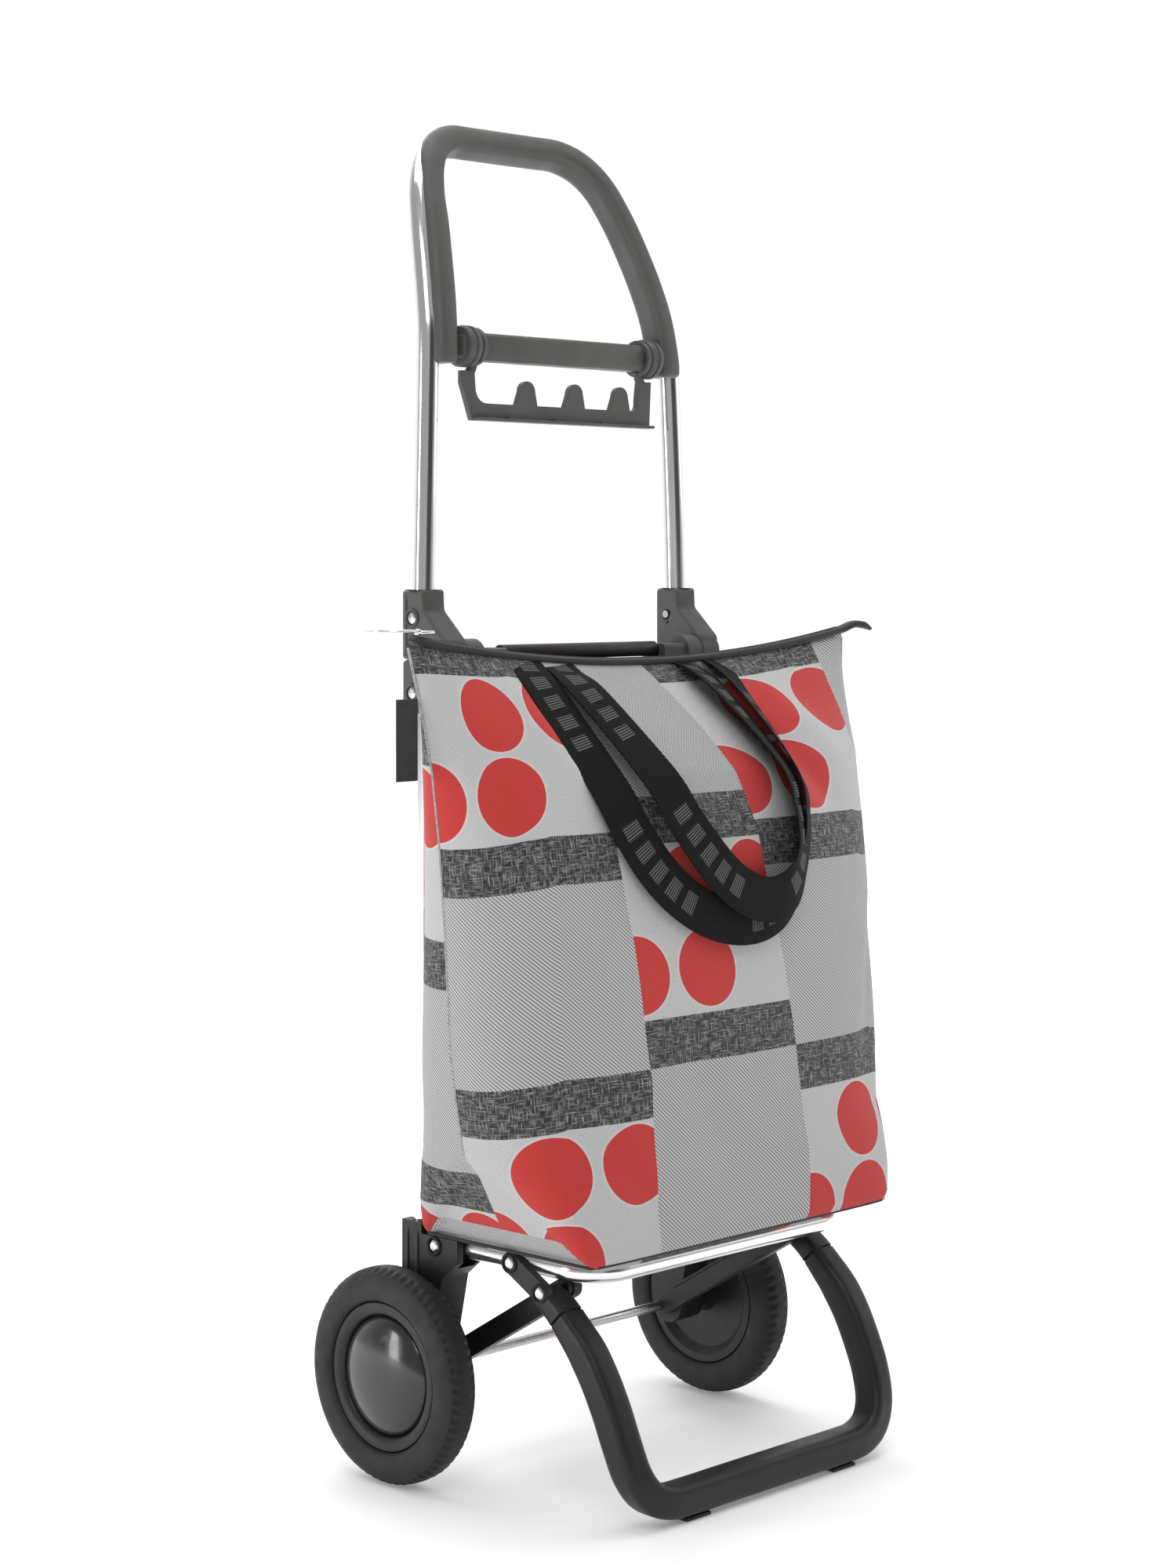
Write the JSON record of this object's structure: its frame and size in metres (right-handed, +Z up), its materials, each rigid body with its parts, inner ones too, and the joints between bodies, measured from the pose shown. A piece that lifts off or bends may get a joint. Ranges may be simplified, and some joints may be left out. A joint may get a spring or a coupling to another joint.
{
  "type": "folding shopping trolley",
  "caption": "Folding shopping trolley with a looped handle, a hook rack, a zipped tote bag on a tray, a hooped front foot and rubber wheels.",
  "frame": {"origin": "on the floor under the middle of the whole trolley's box", "axes": "+Z up, -Y to the front where the bag hangs, +X to the right as seen from the front"},
  "size_m": [0.566, 0.3146, 1.0603],
  "materials": {
    "polished_aluminium": "polished",
    "grey_plastic": "fine matte",
    "black_plastic": "fine matte",
    "bright_steel": "satin",
    "tyre_rubber": "matte",
    "pad_rubber": "matte",
    "gloss_black": "glossy",
    "bag_fabric": "woven print of grey patches and red dots",
    "black_webbing": "woven"
  },
  "bodies": {
    "lower_frame": {"lower_tube_left": "polished_aluminium", "lower_tube_right": "polished_aluminium", "wheel_bracket_left": "black_plastic", "wheel_bracket_right": "black_plastic", "axle_spacer_left": "black_plastic", "axle_spacer_right": "black_plastic", "axle_clip_left": "bright_steel", "axle_clip_right": "bright_steel", "base_rivet_left": "bright_steel", "base_rivet_right": "bright_steel", "hinge_pin_left": "bright_steel", "hinge_pin_right": "bright_steel", "tray_pin_left": "bright_steel", "tray_pin_right": "bright_steel", "hinge_crosspiece": "grey_plastic", "axle_rod": "bright_steel", "bag_body": "bag_fabric", "zip_tape": "black_webbing", "strap_front": "black_webbing", "strap_rear": "black_webbing", "bag_label": "black_webbing"},
    "release_bar": {"release_bar": "black_plastic"},
    "handle": {"handle_tube": "polished_aluminium", "handle_grip": "grey_plastic", "crossbar": "grey_plastic", "handle_socket_left": "grey_plastic", "handle_socket_right": "grey_plastic", "crossbar_collar_left": "grey_plastic", "crossbar_collar_right": "grey_plastic", "socket_rivet_left": "bright_steel", "socket_rivet_right": "bright_steel"},
    "hook_rack": {"hook_rack": "grey_plastic"},
    "tray": {"tray_rail": "polished_aluminium", "tray_strip": "polished_aluminium", "foot_pin_left": "bright_steel", "foot_pin_right": "bright_steel"},
    "foot": {"foot_hoop": "black_plastic", "foot_pad_left": "pad_rubber", "foot_pad_right": "pad_rubber", "strut_pin_left": "bright_steel", "strut_pin_right": "bright_steel"},
    "struts": {"strut_left": "black_plastic", "strut_right": "black_plastic"},
    "wheel_left": {"tyre_left": "tyre_rubber", "wheel_hub_left": "black_plastic", "hub_cap_left": "gloss_black"},
    "wheel_right": {"tyre_right": "tyre_rubber", "wheel_hub_right": "black_plastic", "hub_cap_right": "gloss_black"},
    "zip_slider": {"zip_slider": "bright_steel"},
    "puller_ring": {"puller_ring": "bright_steel"}
  },
  "joints": [
    {"name": "handle_fold", "type": "hinge", "parent": "lower_frame", "child": "handle", "pos_m": [0, 0.0528, 0.632], "axis": [1, 0, 0], "range_deg": [0, 175], "deforming": ["bag_body", "strap_front", "strap_rear"]},
    {"name": "release_lift", "type": "slide", "parent": "lower_frame", "child": "release_bar", "axis": [0, 0, 1], "range_m": [0, 0.008], "stiffness_N_per_m": 600},
    {"name": "rack_swing", "type": "hinge", "parent": "handle", "child": "hook_rack", "pos_m": [0, 0.0768, 0.8545], "axis": [-1, 0, 0], "range_deg": [0, 90]},
    {"name": "tray_fold", "type": "hinge", "parent": "lower_frame", "child": "tray", "pos_m": [0, 0.0541, 0.18], "axis": [-1, 0, 0], "range_deg": [0, 85]},
    {"name": "foot_fold", "type": "hinge", "parent": "tray", "child": "foot", "pos_m": [0, -0.0279, 0.18], "axis": [1, 0, 0], "range_deg": [0, 110]},
    {"name": "strut_fold", "type": "hinge", "parent": "lower_frame", "child": "struts", "pos_m": [0, 0.0748, 0.0825], "axis": [-1, 0, 0], "range_deg": [0, 42]},
    {"name": "wheel_spin_left", "type": "hinge", "parent": "lower_frame", "child": "wheel_left", "pos_m": [-0.1814, 0.0748, 0.0825], "axis": [1, 0, 0], "continuous": true},
    {"name": "wheel_spin_right", "type": "hinge", "parent": "lower_frame", "child": "wheel_right", "pos_m": [0.1814, 0.0748, 0.0825], "axis": [1, 0, 0], "continuous": true},
    {"name": "zip_slide", "type": "slide", "parent": "lower_frame", "child": "zip_slider", "axis": [1, 0, 0], "range_m": [0, 0.464], "deforming": ["zip_tape"]},
    {"name": "ring_swing", "type": "hinge", "parent": "zip_slider", "child": "puller_ring", "pos_m": [-0.2438, -0.0152, 0.6549], "axis": [0, 1, 0], "range_deg": [0, 170]}
  ],
  "couplings": [
    {"joint": "foot_fold", "follows": "tray_fold", "ratio": 1.285},
    {"joint": "strut_fold", "follows": "tray_fold", "ratio": 0.487}
  ]
}
